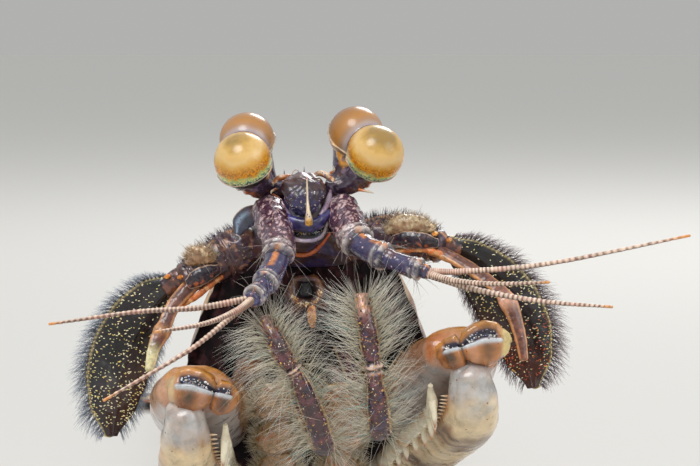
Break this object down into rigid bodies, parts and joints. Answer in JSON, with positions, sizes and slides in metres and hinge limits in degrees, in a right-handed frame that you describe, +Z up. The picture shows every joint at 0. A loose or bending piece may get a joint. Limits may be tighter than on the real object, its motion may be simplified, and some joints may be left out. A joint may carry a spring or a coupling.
{
  "type": "mantis shrimp",
  "caption": "Life-size still mantis shrimp, forebody reared on its walking legs with claws folded and feelers spread, tail laid along the floor.",
  "frame": {"origin": "on the floor under the middle of the outline", "axes": "+Y from the head to the tail, the head facing -Y; +X to the animal's left; +Z up"},
  "size_m": [0.0945, 0.2607, 0.073],
  "materials": {
    "shell_brown": "dark brown shell, satin gloss, with paler marbling",
    "shell_banded": "cream shell with dark brown rear bands, satin gloss",
    "head_shell": "purple-brown shell with orange edges, glossy",
    "cornea": "gold, finely granular, under a clear glossy cornea",
    "stalk": "dark purple with orange stripes, glossy",
    "feeler_stem": "blue-purple with white rings, glossy",
    "feeler_whip": "cream and pink rings with dark joints",
    "antenna": "brown with orange edges and a hairy cream bump",
    "antennal_blade": "black with gold flecks and a fringe of grey hair",
    "jaw_leg": "purple-brown with gold specks and long pale hair",
    "claw": "tan-orange shading to pale blue-grey, glossy",
    "claw_finger": "ivory with sharp teeth, glossy",
    "leg": "pale buff, satin",
    "swimming_leg": "thin buff leaf with a fringe of hair",
    "tail_fan": "brown with yellow edges and a fringe of hair"
  },
  "bodies": {
    "root": {"carapace": "shell_brown", "thoracic_somite_5": "shell_banded", "thoracic_somite_6": "shell_banded", "thoracic_somite_7": "shell_banded", "thoracic_somite_8": "shell_banded", "head_front": "head_shell", "rostral_plate": "head_shell", "eye_L": "cornea", "eyestalk_L": "stalk", "eye_R": "cornea", "eyestalk_R": "stalk", "mouthparts": "head_shell", "abdominal_somite_1": "shell_banded", "abdominal_somite_2": "shell_banded", "abdominal_somite_3": "shell_banded", "abdominal_somite_4": "shell_banded", "abdominal_somite_5": "shell_banded", "abdominal_somite_6": "shell_banded", "telson": "shell_brown", "pleopod_1_L": "swimming_leg", "pleopod_1_R": "swimming_leg", "pleopod_2_L": "swimming_leg", "pleopod_2_R": "swimming_leg", "pleopod_3_L": "swimming_leg", "pleopod_3_R": "swimming_leg", "pleopod_4_L": "swimming_leg", "pleopod_4_R": "swimming_leg", "pleopod_5_L": "swimming_leg", "pleopod_5_R": "swimming_leg", "uropod_L": "tail_fan", "uropod_R": "tail_fan", "antennule_stem_L": "feeler_stem", "antennule_whips_L": "feeler_whip", "antennule_stem_R": "feeler_stem", "antennule_whips_R": "feeler_whip", "antenna_L": "antenna", "antennal_scale_L": "antennal_blade", "antenna_R": "antenna", "antennal_scale_R": "antennal_blade", "maxilliped_1_L": "jaw_leg", "maxilliped_1_R": "jaw_leg", "raptorial_merus_L": "claw", "raptorial_propodus_L": "claw", "raptorial_dactyl_L": "claw_finger", "raptorial_merus_R": "claw", "raptorial_propodus_R": "claw", "raptorial_dactyl_R": "claw_finger", "maxilliped_3_L": "leg", "maxilliped_3_R": "leg", "maxilliped_4_L": "leg", "maxilliped_4_R": "leg", "maxilliped_5_L": "leg", "maxilliped_5_R": "leg", "walking_leg_1_L": "leg", "walking_leg_1_R": "leg", "walking_leg_2_L": "leg", "walking_leg_2_R": "leg", "walking_leg_3_L": "leg", "walking_leg_3_R": "leg"}
  },
  "joints": []
}
